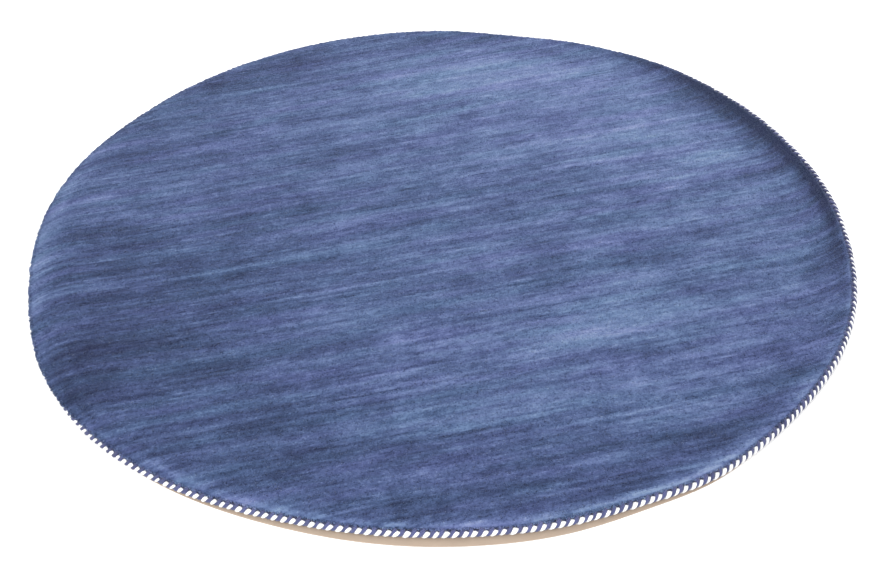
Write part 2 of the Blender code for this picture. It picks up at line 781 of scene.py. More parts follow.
    def tinted(self, first: Source, second: Source) -> Socket:
        """Multiply two colours.

        The Mix node's own sockets for colours come after those for numbers and vectors.

        Args:
            first: The first colour.
            second: The second colour.

        Returns:
            The colour's socket.
        """
        made = self.node("Mix", data_type="RGBA", blend_type="MULTIPLY")
        self.feed(1.0, made.inputs[0])
        self.feed(first, made.inputs[6])
        self.feed(second, made.inputs[7])
        return made.outputs[2]

    def bump(self, height: Socket, distance: float, strength: float) -> None:
        """Roughen the surface by a height.

        Args:
            height: The height, 0 to 1.
            distance: How deep it goes, in metres.
            strength: How much of it shows.
        """
        made = self.node("Bump")
        made.inputs["Distance"].default_value = distance
        made.inputs["Strength"].default_value = strength
        self.feed(height, made.inputs["Height"])
        self.feed(made.outputs["Normal"], self.surface.inputs["Normal"])

    def cloth(self, colour: Source, roughness: float, sheen: float, sheen_tint: Colour = UNTINTED) -> None:
        """Set the plain values of a cloth surface.

        Args:
            colour: Its colour, as a socket or four numbers.
            roughness: Its roughness.
            sheen: The weight of its sheen.
            sheen_tint: The colour of its sheen.
        """
        self.feed(colour, self.surface.inputs["Base Color"])
        self.surface.inputs["Roughness"].default_value = roughness
        self.surface.inputs["Specular IOR Level"].default_value = self.GLOSS
        self.surface.inputs["Sheen Weight"].default_value = sheen
        self.surface.inputs["Sheen Roughness"].default_value = self.SHEEN_ROUGHNESS
        self.surface.inputs["Sheen Tint"].default_value = sheen_tint


@dataclass(frozen=True)
class PileFinish:
    """Cut wool in fine rows of uneven blues.

    Attributes:
        name: The material's name.
        blues: The wool's blues, from the deepest to the lightest.
        dyes: The casts that the dye takes, from green to mauve.
        streaks: The layers in which the shade differs along and across the rows.
        threads: Those in which it differs from row to row.
        casts: The layers in which the cast differs.
        streak_spacing: Where in the noise the streaks are.
        thread_spacing: Where the threads are.
        cast_spacing: Where the casts are.
        roughness: The wool's roughness.
        sheen: The weight of its sheen.
        sheen_tint: The colour of its sheen.
        bump_depth: How deep its bumps go, in metres.
        bump_strength: How much of them shows.
    """

    name: str = "blue_abrash_pile"
    blues: tuple[Stop, ...] = (
        Stop(0.00, seen_as(38, 48, 83)),
        Stop(0.28, seen_as(64, 79, 120)),
        Stop(0.50, seen_as(88, 106, 153)),
        Stop(0.74, seen_as(119, 139, 186)),
        Stop(1.00, seen_as(152, 171, 210)),
    )
    dyes: tuple[Stop, ...] = (
        Stop(0.25, (0.880, 0.980, 0.930, 1.0)),
        Stop(0.50, (0.955, 0.955, 0.955, 1.0)),
        Stop(0.75, (1.000, 0.905, 0.985, 1.0)),
    )
    streaks: tuple[Streak, ...] = (
        Streak(1.10, 0.060, 0.34),
        Streak(0.40, 0.022, 0.38),
        Streak(0.28, 0.0100, 0.34),
        Streak(0.024, 0.0064, 0.42, bumps=0.7),
        Streak(0.100, 0.060, 0.56, 3.0),
        Streak(0.020, 0.0150, 0.24),
        Streak(0.0050, 0.0032, 0.47, bumps=0.7),
    )
    threads: tuple[Thread, ...] = (
        Thread(0.300, 0.0048, 0.38),
        Thread(0.040, 0.0032, 0.95, 0.10),
        Thread(0.120, 0.0064, 0.28, 0.03),
    )
    casts: tuple[Streak, ...] = (
        Streak(0.60, 0.050, 1.0),
        Streak(0.13, 0.026, 0.9),
        Streak(0.030, 0.0064, 0.26),
    )
    streak_spacing: Spacing = Spacing(1.3, 3.7)
    thread_spacing: Spacing = Spacing(0.4, 5.1)
    cast_spacing: Spacing = Spacing(31.0, 6.3)
    roughness: float = 0.95
    sheen: float = 0.20
    sheen_tint: Colour = (0.62, 0.74, 1.0, 1.0)
    bump_depth: float = 0.0022
    bump_strength: float = 0.55

    def material(self) -> bpy.types.Material:
        """Build the material.

        Returns:
            The material, which reads the map "rows" and the value "lay", the painted light and shade that
            lighten or deepen its blues.
        """
        shader = Shader(self.name)
        rows = shader.map("rows")
        # Painted highlights, sheen and shade from the mesh's value lighten or deepen the blues.
        share = shader.sum(0.5, shader.value("painted_light_and_tone"))
        height = 0.0
        for number, streak in enumerate(self.streaks):
            noise = shader.noise(rows, streak, self.streak_spacing.of(number))
            share = shader.swayed(share, noise, streak.weight)
            if streak.bumps > 0.0:
                height = shader.sum(height, shader.times(noise, streak.bumps))
        for number, thread in enumerate(self.threads):
            noise = shader.row_noise(rows, thread, self.thread_spacing.of(number))
            share = shader.sum(share, shader.times(shader.tails(noise, thread.edge), thread.weight))
        cast = 0.5
        for number, streak in enumerate(self.casts):
            noise = shader.noise(rows, streak, self.cast_spacing.of(number))
            cast = shader.swayed(cast, noise, streak.weight)
        colour = shader.tinted(shader.ramp(share, self.blues), shader.ramp(cast, self.dyes))
        shader.cloth(colour, self.roughness, self.sheen, self.sheen_tint)
        shader.bump(height, self.bump_depth, self.bump_strength)
        return shader.material


@dataclass(frozen=True)
class YarnFinish:
    """Thick two-ply wool yarn of one dye.

    Attributes:
        name: The material's name.
        colour: The yarn's colour on its plies.
        shadow: Its colour between them.
        shadow_level: The height up to which it has the shadow's colour, 0 to 1.
        colour_level: The height from which it has its own.
        ply_slant: How far the plies are turned from straight across the yarn, in degrees.
        ply_width: How far apart they are, in metres.
        ply_swirl: How far they waver.
        ply_weight: How much of the height is theirs.
        fibre: The grain of the fibres, and how much of the height is theirs.
        fibre_shift: Where in the noise they are.
        roughness: The yarn's roughness.
        sheen: The weight of its sheen.
        bump_depth: How deep its bumps go, in metres.
        bump_strength: How much of them shows.
    """

    name: str
    colour: Colour
    shadow: Colour
    shadow_level: float = 0.15
    colour_level: float = 0.55
    ply_slant: float = 35.0
    ply_width: float = 0.0019625
    ply_swirl: float = 2.0
    ply_weight: float = 0.5
    fibre: Streak = Streak(0.004, 0.0008, 0.5, 3.0)
    fibre_shift: float = 2.0
    roughness: float = 0.9
    sheen: float = 0.25
    bump_depth: float = 0.0008
    bump_strength: float = 0.6

    def material(self) -> bpy.types.Material:
        """Build the material.

        Returns:
            The material, which reads the map "yarn", along the yarn and round it, and the value "tone", which
            holds the yarn's tone with the stitches' painted highlight and painted shadow.
        """
        shader = Shader(self.name)
        along = shader.map("yarn")
        slanted = shader.node("Mapping")
        slanted.inputs["Rotation"].default_value = (0.0, 0.0, math.radians(self.ply_slant))
        shader.feed(along, slanted.inputs["Vector"])
        ply = shader.bands(slanted.outputs[0], "X", self.ply_width, self.ply_swirl, 1.0)
        fibre = shader.noise(along, self.fibre, self.fibre_shift)
        height = shader.sum(shader.times(ply, self.ply_weight), shader.times(fibre, self.fibre.weight))
        stops = (Stop(self.shadow_level, self.shadow), Stop(self.colour_level, self.colour))
        colour = shader.tinted(shader.ramp(height, stops), shader.value("tone"))
        shader.cloth(colour, self.roughness, self.sheen)
        shader.bump(height, self.bump_depth, self.bump_strength)
        return shader.material


@dataclass(frozen=True)
class CanvasFinish:
    """Plain undyed cotton canvas.

    Attributes:
        name: The material's name.
        shades: The canvas's shades, from the painted shade between its threads to on top of them.
        thread: How far apart its threads are, in metres.
        thread_waver: How far they waver.
        weave_weight: How much of the shade is the weave's.
        slub: The grain of its thicker places, and how much of the shade is theirs.
        roughness: The canvas's roughness.
        sheen: The weight of its sheen.
        bump_depth: How deep its bumps go, in metres.
        bump_strength: How much of them shows.
    """

    name: str = "undyed_canvas"
    shades: tuple[Stop, ...] = (Stop(0.2, seen_as(194, 174, 156)), Stop(0.7, seen_as(214, 193, 173)))
    thread: float = 0.0011
    thread_waver: float = 0.6
    weave_weight: float = 0.5
    slub: Streak = Streak(0.030, 0.012, 0.6, 3.0)
    roughness: float = 0.9
    sheen: float = 0.1
    bump_depth: float = 0.0005
    bump_strength: float = 0.4

    def material(self) -> bpy.types.Material:
        """Build the material.

        Returns:
            The material, a plain weave on the piece's own coordinates.
        """
        shader = Shader(self.name)
        where = shader.node("TexCoord").outputs["Object"]
        warp = shader.bands(where, "X", self.thread, self.thread_waver, 2.0)
        weft = shader.bands(where, "Y", self.thread, self.thread_waver, 2.0)
        weave = shader.times(shader.times(warp, weft), self.weave_weight)
        share = shader.sum(weave, shader.times(shader.noise(where, self.slub, 0.0), self.slub.weight))
        # The weave's low places between the threads take the deeper end as painted shade; the slubs vary its
        # own tone.
        shader.cloth(shader.ramp(share, self.shades), self.roughness, self.sheen)
        shader.bump(share, self.bump_depth, self.bump_strength)
        return shader.material


@dataclass(frozen=True)
class PaintedNapPatch:
    """A soft patch where the pile's nap lies otherwise, with painted sheen where it is lighter and painted
    shade where it is deeper.

    Attributes:
        along: Where its middle is along the rows.
        across: Where it is across them.
        length: How far it spreads along the rows.
        width: How far it spreads across them.
        lightness: How much painted sheen lightens it, or how much painted shade deepens it where this is
            negative.
    """

    along: float
    across: float
    length: float
    width: float
    lightness: float


@dataclass(frozen=True)
class PaintedRimLine:
    """A soft line along the rim with a painted highlight where it is lighter and painted shade where it is
    deeper.

    Attributes:
        where: Its direction and spread, and how much painted highlight it holds, painted shade where this is
            negative.
        inset: How far in from the outline it runs.
        width: How far it spreads to each side.
        wavers: Whether its lightness wavers.
        drift: Where it runs further in.
    """

    where: Lobe
    inset: float
    width: float
    wavers: bool = False
    drift: Lobe = Lobe(-135, 26, 0.0)


class SideRing(NamedTuple):
    """A ring of the body's side or underside.

    Attributes:
        inset: How far in from the outline it is.
        height: How far above the floor.
        follows: How much of the lip's wandering it takes on, 0 to 1.
    """

    inset: float
    height: float
    follows: float


@dataclass
class PileField:
    """The rug's body: a closed flat form whose top follows the rows.

    Attributes:
        form: The rug's form.
        finish: Its wool.
        ranks: How many faces the top has across the rows.
        files: How many it has along them.
        merge_reach: How close two points are that become one.
        ground: How far the body lies below the tips of its tufts.
        ground_run: How far in from the lip it has come down so far.
        relief_run: How far in from the lip the relief has its full height.
        seed: Which random numbers to draw.
        relief: The layers of the pile's unevenness, with their heights as weights.
        painted_nap_patches: Where the pile's nap lies otherwise, with painted sheen and painted shade.
        side: The rings of its side from the lip to the cord.
        painted_rim_lines: Lines of painted highlight and painted shade along the rim.
        rim_steadiness: How much of a wavering line is steady.
        rim_waves: How such lines waver, and how all of them wander.
    """

    form: RugForm
    finish: PileFinish
    ranks: int = 250
    files: int = 96
    merge_reach: float = 2e-5
    ground: float = 0.0012
    ground_run: float = 0.004
    relief_run: float = 0.010
    seed: int = 11
    relief: tuple[Streak, ...] = (
        Streak(0.120, 0.0080, 0.00045),
        Streak(0.045, 0.0048, 0.00040),
        Streak(0.160, 0.0900, 0.00080),
    )
    # Painted sheen and shade where the pile's nap lies otherwise.
    painted_nap_patches: tuple[PaintedNapPatch, ...] = (
        PaintedNapPatch(0.44, 0.25, 0.42, 0.30, 0.17),
        PaintedNapPatch(0.24, 0.50, 0.25, 0.10, 0.16),
        PaintedNapPatch(0.50, 0.01, 0.22, 0.10, 0.08),
        PaintedNapPatch(0.07, -0.43, 0.34, 0.15, 0.12),
        PaintedNapPatch(-0.06, -0.10, 0.16, 0.10, 0.10),
        PaintedNapPatch(-0.61, 0.22, 0.08, 0.06, 0.06),
        PaintedNapPatch(-0.60, -0.20, 0.28, 0.24, -0.20),
        PaintedNapPatch(-0.60, 0.08, 0.14, 0.08, -0.10),
        PaintedNapPatch(-0.40, -0.49, 0.22, 0.14, -0.08),
        PaintedNapPatch(0.10, -0.67, 0.44, 0.07, -0.16),
        PaintedNapPatch(0.44, -0.65, 0.20, 0.12, -0.10),
        PaintedNapPatch(-0.05, 0.67, 0.44, 0.06, -0.14),
        PaintedNapPatch(-0.53, 0.48, 0.08, 0.10, -0.14),
        PaintedNapPatch(0.32, 0.60, 0.13, 0.06, -0.07),
        PaintedNapPatch(0.66, 0.42, 0.12, 0.08, -0.14),
        PaintedNapPatch(0.74, 0.03, 0.06, 0.10, -0.06),
        PaintedNapPatch(-0.31, 0.62, 0.10, 0.05, -0.10),
        PaintedNapPatch(0.19, -0.35, 0.11, 0.06, 0.12),
        PaintedNapPatch(-0.28, -0.25, 0.12, 0.06, 0.08),
        PaintedNapPatch(0.56, 0.05, 0.12, 0.05, 0.10),
        PaintedNapPatch(0.42, 0.34, 0.09, 0.06, 0.11),
        PaintedNapPatch(-0.23, -0.49, 0.07, 0.05, 0.09),
        PaintedNapPatch(-0.66, -0.29, 0.08, 0.09, -0.14),
        PaintedNapPatch(-0.38, -0.56, 0.10, 0.06, -0.11),
        PaintedNapPatch(0.05, 0.66, 0.07, 0.07, 0.12),
        PaintedNapPatch(0.63, 0.22, 0.09, 0.08, -0.12),
        PaintedNapPatch(-0.68, 0.25, 0.05, 0.05, -0.10),
        PaintedNapPatch(0.50, -0.23, 0.28, 0.07, 0.05),
        PaintedNapPatch(0.27, -0.69, 0.07, 0.06, 0.12),
    )
    side: tuple[SideRing, ...] = (
        SideRing(0.0078, 0.0158, 1.0),
        SideRing(0.0084, 0.0152, 1.0),
        SideRing(0.0096, 0.0149, 0.8),
        SideRing(0.0118, 0.0136, 0.0),
    )
    # Painted highlights along the pile's crest and slopes, and painted shade on its shoulders and in the
    # groove where the rim is turned up.
    painted_rim_lines: tuple[PaintedRimLine, ...] = (
        PaintedRimLine(Lobe(-78, 46, 0.42), 0.0122, 0.0055, True, Lobe(-124, 8, 0.006)),
        PaintedRimLine(Lobe(-121, 8, 0.26), 0.0190, 0.0100, True),
        PaintedRimLine(Lobe(-76, 50, -0.07), 0.0400, 0.0100, True),
        PaintedRimLine(Lobe(-136, 14, -0.16), 0.0200, 0.0100),
        PaintedRimLine(Lobe(-42, 22, 0.20), 0.0220, 0.0110, True),
        PaintedRimLine(Lobe(17, 36, -0.46), 0.0240, 0.0130),
        PaintedRimLine(Lobe(22, 32, -0.50), 0.0000, 0.0660),
        PaintedRimLine(Lobe(30, 12, -0.14), 0.0560, 0.0260),
        PaintedRimLine(Lobe(2, 38, 0.12), 0.0140, 0.0060, True),
        PaintedRimLine(Lobe(73, 12, -0.16), 0.0700, 0.0350),
        PaintedRimLine(Lobe(122, 12, -0.10), 0.0450, 0.0250),
        PaintedRimLine(Lobe(152, 6, 0.12), 0.0300, 0.0200),
        PaintedRimLine(Lobe(188, 22, 0.24), 0.0160, 0.0240),
    )
    rim_steadiness: float = 0.82
    rim_waves: tuple[Wave, ...] = (Wave(7.0, 20, 0.28, 0.0006), Wave(1.5, 21, 0.30, 0.0009))

    def build(self) -> bpy.types.Object:
        """Model the body.

        Returns:
            The piece.
        """
        mesh = self._round_of_rows()
        points = points_of(mesh)
        direction, inset = self.form.polar(points)
        heights = self.form.pile_top(direction, inset) + self.relief_at(self.form.rows(points), inset)
        heights -= self.ground * np.clip((inset - self.form.lip(direction)) / self.ground_run, 0.0, 1.0)
        points[:, 2] = heights + self.form.lift(direction, inset)
        move_points(mesh, points)
        self._close(mesh)
        points = points_of(mesh)
        lay_map(mesh, "rows", self.form.rows(points))
        # The body's painted light and shade, one value for each vertex.
        lay_values(mesh, "painted_light_and_tone", self.painted_light_at(points))
        return shown("pile_field_wool", mesh)

    def _round_of_rows(self) -> bpy.types.Mesh:
        """Model the top as a flat round grid, whose long edges follow the rows and whose ends lie closest.

        Returns:
            The mesh.
        """
        grid = bmesh.new()
        bmesh.ops.create_grid(grid, x_segments=self.files, y_segments=self.ranks, size=1.0)
        mesh = as_mesh(grid, "rows_grid")
        points = points_of(mesh)
        half_row = np.sqrt(np.clip(1.0 - points[:, 1] ** 2, 0.0, None))
        flat = self.form.flat(np.sin(points[:, 0] * math.pi / 2) * half_row, points[:, 1])
        direction = direction_of(flat)
        reach = (self.form.radius - self.form.lip(direction)) * self.form.stretch(direction)
        points[:, :2] = flat * reach[:, None]
        move_points(mesh, points)
        with opened(mesh) as body:
            bmesh.ops.remove_doubles(body, verts=body.verts, dist=self.merge_reach)
        return mesh

    def relief_at(self, rows: np.ndarray, inset: np.ndarray) -> np.ndarray:
        """How far the pile stands above or below its even height.

        Args:
            rows: Places along and across the rows.
            inset: Distances in from the outline.

        Returns:
            One height for each place.
        """
        height = np.zeros(len(rows))
        for number, layer in enumerate(self.relief):
            noise = SoftNoise(self.seed + number)
            height += layer.weight * noise.at(rows[:, 0] / layer.length, rows[:, 1] / layer.width)
        return height * np.clip((inset - self.form.lip_inset) / self.relief_run, 0.0, 1.0)

    def _rings(self) -> tuple[SideRing, ...]:
        """The rings that lead down the body's side from the lip, past the cord and in under the rug.

        Returns:
            The rings, in their order.
        """
        form = self.form
        seat = form.cord_width + form.gap
        under = (seat, *form.underside_insets, form.rise_run)
        return (
            *self.side,
            SideRing(seat, form.cord_height, 0.0),
            *(SideRing(inset, form.lay_height, 0.0) for inset in under),
        )

    def _close(self, mesh: bpy.types.Mesh) -> None:
        """Carry the top's edge down the rug's side and under it, and close the underside.

        Args:
            mesh: The top, which becomes the whole body.
        """
        form = self.form
        with opened(mesh) as body:
            rim = [edge for edge in body.edges if edge.is_boundary]
            for ring in self._rings():
                made = bmesh.ops.extrude_edge_only(body, edges=rim)["geom"]
                verts = [part for part in made if isinstance(part, bmesh.types.BMVert)]
                rim = [part for part in made if isinstance(part, bmesh.types.BMEdge)]
                direction = direction_of(np.array([vert.co for vert in verts]))
                inset = ring.inset + ring.follows * (form.lip(direction) - form.lip_inset)
                for vert, point in zip(verts, form.place(direction, inset, ring.height)):
                    vert.co = point
            bmesh.ops.holes_fill(body, edges=rim, sides=0)
            bmesh.ops.recalc_face_normals(body, faces=body.faces)

    def painted_light_at(self, points: np.ndarray) -> np.ndarray:
        """The painted light and shade on the pile: painted sheen and shade where its nap lies otherwise, and
        painted highlights and shade along the rim.

        Args:
            points: Places on the rug, a row of three for each.

        Returns:
            One value for each place, 0 where nothing is painted.
        """
        direction, inset = self.form.polar(points)
        rows = self.form.rows(points)
        painted_light_and_tone = np.zeros(len(points))
        # Painted sheen and shade where the nap lies otherwise.
        for patch in self.painted_nap_patches:
            away = ((rows[:, 0] - patch.along) / patch.length) ** 2
            away += ((rows[:, 1] - patch.across) / patch.width) ** 2
            painted_light_and_tone += patch.lightness * np.exp(-away)
        waver = self.rim_steadiness
        wander = 0.0
        for wave in self.rim_waves:
            value = wave.at(direction)
            waver = waver + wave.strength * value
            wander = wander + wave.drift * value
        # Painted highlights and shade along the rim.
        for line in self.painted_rim_lines:
            away = (inset - line.inset - line.drift.at(direction) - wander) / line.width
            painted_light_and_tone += line.where.at(direction) * np.exp(-(away**2)) * (waver if line.wavers else 1.0)
        return painted_light_and_tone

    def dress(self, piece: bpy.types.Object) -> None:
        """Args:
            piece: The body.
        """
        riding(piece, self.finish.material())
        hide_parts("pile_field")


@dataclass(frozen=True)
class LipShape:
    """How the lip's tufts stand round the pile's edge, in metres.

    Attributes:
        turns: The angles above level that they stand at, in degrees, from hanging down to slanting up.
        turn_spread: How much those differ, in radians.
        pitch: How far apart the tufts are round the rug.
        out: How far they stand out.
        hang: How much further out those are that hang down.
        out_spread: How much that differs.
        reach_over: How far the edge is rounded over its middle.
        reach_under: How far it is rounded under it.
        rise_over: How far the tufts rise over the edge's middle.
        fall_under: How far they fall under it.
        width: How far a tuft's foot reaches from its axis.
        depth: How long a tuft is.
        shade: How much the tufts' shades differ.
    """

    turns: tuple[float, ...] = (-96.0, -72.0, -46.0, -16.0, 12.0, 38.0)
    turn_spread: float = 0.10
    pitch: float = 0.0027
    out: float = 0.0009
    hang: float = 0.0016
    out_spread: float = 0.0007
    reach_over: float = 0.0035
    reach_under: float = 0.0012
    rise_over: float = 0.0030
    fall_under: float = 0.0026
    width: float = 0.0019
    depth: float = 0.0030
    shade: float = 0.17


@dataclass
class PileTufts:
    """The cut tufts of the pile: soft points set in rows over the body, and a fringe of them on its lip.

    Attributes:
        body: The rug's body, which they stand in.
        pitch: How far apart they are along and across the rows.
        bands: How many pieces they are joined in.
        row_jitter: How far along its row a tuft strays, in pitches.
        rank_jitter: How far across it.
        lip_gap: How far in from the lip the first ones stand.
        width: How far a tuft's foot reaches from its axis.
        depth: How long a tuft is.
        growth: The smallest and the largest size of a tuft, against the usual one.
        unevenness: How much their heights differ.
        lean: How far their tips lean.
        shade: How much their shades differ.
        lip: The shape of the fringe on the lip.
        seed: Which random numbers to draw.
    """

    body: PileField
    pitch: float = 0.0032
    bands: int = 4
    row_jitter: float = 0.30
    rank_jitter: float = 0.22
    lip_gap: float = 0.0012
    width: float = 0.0027
    depth: float = 0.0020
    growth: tuple[float, float] = (0.85, 1.2)
    unevenness: float = 0.00022
    lean: float = 0.0007
    shade: float = 0.075
    lip: LipShape = LipShape()
    seed: int = 21

    # A little more than the rug's width, in rug radii.
    SPAN = 2.1

    # How far apart the copies of a tuft lie before they are planted. Each reaches 1 to both sides.
    STRIDE = 3.0

    def _seats(self) -> np.ndarray:
        """Where the tufts stand, in half-drop rows on the loom.

        Returns:
            A row for each tuft: x, y, along the rows, across them.
        """
        form = self.body.form
        count = int(self.SPAN * form.radius / self.pitch)
        rank, file = np.meshgrid(np.arange(count), np.arange(count), indexing="ij")
        draw = np.random.default_rng(self.seed)
        across = (rank.ravel() - count / 2) * self.pitch
        along = (file.ravel() - count / 2 + 0.5 * (rank.ravel() % 2)) * self.pitch
        along = along + draw.uniform(-self.row_jitter, self.row_jitter, along.size) * self.pitch
        across = across + draw.uniform(-self.rank_jitter, self.rank_jitter, across.size) * self.pitch
        flat = form.flat(along, across)
        direction, inset = form.polar(flat)
        kept = inset > form.lip(direction) + self.lip_gap
        return np.column_stack([flat, form.rows(flat)])[kept]

    def _planted(
        self, tips: np.ndarray, direction: np.ndarray, lift: np.ndarray, size: tuple[float, float],
        draw: np.random.Generator,
    ) -> bpy.types.Mesh:
        """Set a tuft at each of some places.

        Args:
            tips: Where the tufts end, a row of three for each.
            direction: Each tuft's direction from the rug's middle, in degrees.
            lift: The angle in radians of each tuft's own axis above the floor.
            size: How far a tuft's foot reaches from its axis, and how far down it is.
            draw: The random numbers to use.

        Returns:
            The joined mesh.
        """
        width, depth = size
        count = len(tips)
        cone = bmesh.new()
        bmesh.ops.create_cone(cone, cap_ends=True, segments=3, radius1=1.0, radius2=0.0, depth=1.0)
        mesh = arrayed(cone, count, self.STRIDE)
        local = points_of(mesh)
        number = np.floor((local[:, 0] + self.STRIDE / 2) / self.STRIDE).astype(int)
        side = local[:, 0] - number * self.STRIDE
        spin = draw.uniform(0.0, math.tau, count)[number]
        grown = draw.uniform(*self.growth, count)[number]
        first = (side * np.cos(spin) - local[:, 1] * np.sin(spin)) * grown * width
        second = (side * np.sin(spin) + local[:, 1] * np.cos(spin)) * grown * width
        # From 0 at a tuft's tip to 1 at its foot.
        foot = 0.5 - local[:, 2]
        outwards = heading(direction)[number]
        level = lift[number]
        axis = np.column_stack([outwards * np.cos(level)[:, None], np.sin(level)])
        slope = np.column_stack([outwards * np.sin(level)[:, None], -np.cos(level)])
        round_way = np.column_stack([-outwards[:, 1], outwards[:, 0], np.zeros(len(outwards))])
        leaning = draw.normal(0.0, self.lean, (count, 2))[number] * (1.0 - foot)[:, None]
        points = tips[number] - axis * (foot * depth * grown)[:, None]
        points += slope * (first + leaning[:, 0])[:, None] + round_way * (second + leaning[:, 1])[:, None]
        move_points(mesh, points)
        return mesh

    def _finished(
        self, name: str, mesh: bpy.types.Mesh, tips: np.ndarray, shade: float, material: bpy.types.Material,
        draw: np.random.Generator,
    ) -> bpy.types.Object:
        """Give a mesh of tufts one shade a tuft, from the painted light and shade where it stands and a
        random tone of its own, and a flat map of its own to bake on.

        Args:
            name: The piece's name.
            mesh: The joined tufts.
            tips: Where each tuft ends.
            shade: How much the tufts' shades differ.
            material: Their finish.
            draw: The random numbers to use.

        Returns:
            The piece.
        """
        rows = self.body.form.rows
        number = np.repeat(np.arange(len(tips)), len(mesh.vertices) // len(tips))
        lay_map(mesh, "rows", rows(tips)[number])
        # Each tuft takes the painted light and shade where it stands, and a random tone of its own.
        painted_light_and_tone = self.body.painted_light_at(tips) + draw.normal(0.0, shade, len(tips))
        lay_values(mesh, "painted_light_and_tone", painted_light_and_tone[number])
        spread = rows(points_of(mesh))
        low, high = spread.min(axis=0), spread.max(axis=0)
        lay_map(mesh, "OFBake", (spread - low) / (high - low))
        return riding(shown(name, mesh), material)

    def build(self) -> list[bpy.types.Object]:
        """Model and dress the tufts, in bands across the rows, and those of the lip.

        Returns:
            The pieces.
        """
        form = self.body.form
        material = self.body.finish.material()
        draw = np.random.default_rng(self.seed + 1)
        seats = self._seats()
        seats = seats[np.argsort(seats[:, 3], kind="stable")]
        made = []
        for band, part in enumerate(np.array_split(seats, self.bands)):
            direction, inset = form.polar(part)
            height = form.pile_top(direction, inset) + self.body.relief_at(part[:, 2:], inset)
            height += form.lift(direction, inset) + draw.normal(0.0, self.unevenness, len(part))
            tips = np.column_stack([part[:, :2], height])
            lift = math.pi / 2 - np.arctan(form.pile_slope(direction, inset))
            mesh = self._planted(tips, direction, lift, (self.width, self.depth), draw)
            made.append(self._finished(f"pile_tufts_{band + 1}", mesh, tips, self.shade, material, draw))
        made.append(self._fringe(material, draw))
        return made

    def _fringe(self, material: bpy.types.Material, draw: np.random.Generator) -> bpy.types.Object:
        """Model and dress the lip's tufts, which hang out over the overcast edge.

        Args:
            material: Their finish.
            draw: The random numbers to use.

        Returns:
            The piece.
        """
        form = self.body.form
        lip = self.lip
        around = int(math.tau * form.radius / lip.pitch)
        turn, place = np.meshgrid(np.radians(lip.turns), np.arange(around), indexing="ij")
        turn = turn.ravel() + draw.normal(0.0, lip.turn_spread, turn.size)
        direction = (place.ravel() + draw.uniform(0.0, 1.0, place.size)) * 360.0 / around - 180.0
        out = lip.out * np.cos(turn) - lip.hang * np.clip(np.sin(turn), -1.0, 0.0)
        out += draw.normal(0.0, lip.out_spread, turn.size)
        reach = np.where(turn > 0.0, lip.reach_over, lip.reach_under)
        inset = form.lip(direction) + reach * (1.0 - np.cos(turn)) - out
        height = form.lip_height + np.where(turn > 0.0, lip.rise_over, lip.fall_under) * np.sin(turn)
        tips = form.place(direction, inset, height)
        mesh = self._planted(tips, direction, turn, (lip.width, lip.depth), draw)
        return self._finished("pile_lip_tufts", mesh, tips, lip.shade, material, draw)


class Strand(Enum):
    """The two yarns of the overcasting, and how many half pitches each starts after the other."""

    WHITE = 0
    BLUE = 1


@dataclass(frozen=True)
class StitchShape:
    """One kind of overcast stitch, in metres and degrees.

    Attributes:
        half_width: Half its width along the rim.
        half_thickness: Half its thickness.
        sink: How far in it lies.
        first_angle: Where round the cord it comes up.
        head: The share of its length that rounds off its head.
        taper: How much narrower it gets than its head.
        tone: Its yarn's lightness.
        uneven_tone: How much that differs.
        climbs: Whether it starts on the pile's lip.
        further: Where round the rug it comes up further on.
        fuller: Where it is fuller.
        painted_highlight: Where it has a painted highlight, lighter than its yarn.
    """

    half_width: float
    half_thickness: float
    sink: float
    first_angle: float
    head: float
    taper: float
    tone: float
    uneven_tone: float
    climbs: bool
    further: Lobe
    fuller: Lobe
    painted_highlight: Lobe

    TIP = 0.06
    ROUNDNESS = 0.7
    TAIL = 0.1
    TAPER_START = 0.10
    TAPER_RUN = 0.50
    THINNEST = 0.35

    def swell(self, share: np.ndarray) -> np.ndarray:
        """How broad the stitch is along its length, against its usual width.

        Args:
            share: Shares of its length from its head.

        Returns:
            One factor for each.
        """
        rounded = np.sin(np.clip(share / self.head, self.TIP, 1.0) * math.pi / 2) ** self.ROUNDNESS
        tail = np.sin(np.clip((1.0 - share) / self.TAIL, self.TIP, 1.0) * math.pi / 2)
        tapered = np.clip((share - self.TAPER_START) / self.TAPER_RUN, 0.0, 1.0)
        return rounded * tail * (1.0 - self.taper * tapered)

    def bulk(self, swell: np.ndarray) -> np.ndarray:
        """How thick the stitch is, against its usual thickness, where it swells so much."""
        return np.clip(self.THINNEST + (1.0 - self.THINNEST) * swell, 0.0, 1.0)


def stitch_shapes() -> dict[Strand, StitchShape]:
    """The shapes of both yarns' stitches."""
    return {
        Strand.WHITE: StitchShape(
            half_width=0.0036, half_thickness=0.0022, sink=0.0, first_angle=98.0, head=0.10, taper=0.38,
            tone=1.0, uneven_tone=0.03, climbs=False,
            further=Lobe(12, 44, 32.0), fuller=Lobe(-88, 26, 0.32), painted_highlight=Lobe(-92, 26, 0.0),
        ),
        Strand.BLUE: StitchShape(
            half_width=0.0040, half_thickness=0.0021, sink=0.0002, first_angle=112.0, head=0.08, taper=0.34,
            tone=0.84, uneven_tone=0.16, climbs=True,
            further=Lobe(12, 44, 14.0), fuller=Lobe(-92, 34, -0.04), painted_highlight=Lobe(-90, 26, 0.26),
        ),
    }


def yarn_finishes() -> dict[Strand, YarnFinish]:
    """The finishes of both yarns."""
    return {
        Strand.WHITE: YarnFinish("white_overcast_yarn", (0.78, 0.78, 0.78, 1.0), (0.58, 0.59, 0.62, 1.0)),
        Strand.BLUE: YarnFinish("blue_overcast_yarn", seen_as(104, 110, 156), seen_as(58, 62, 102)),
    }


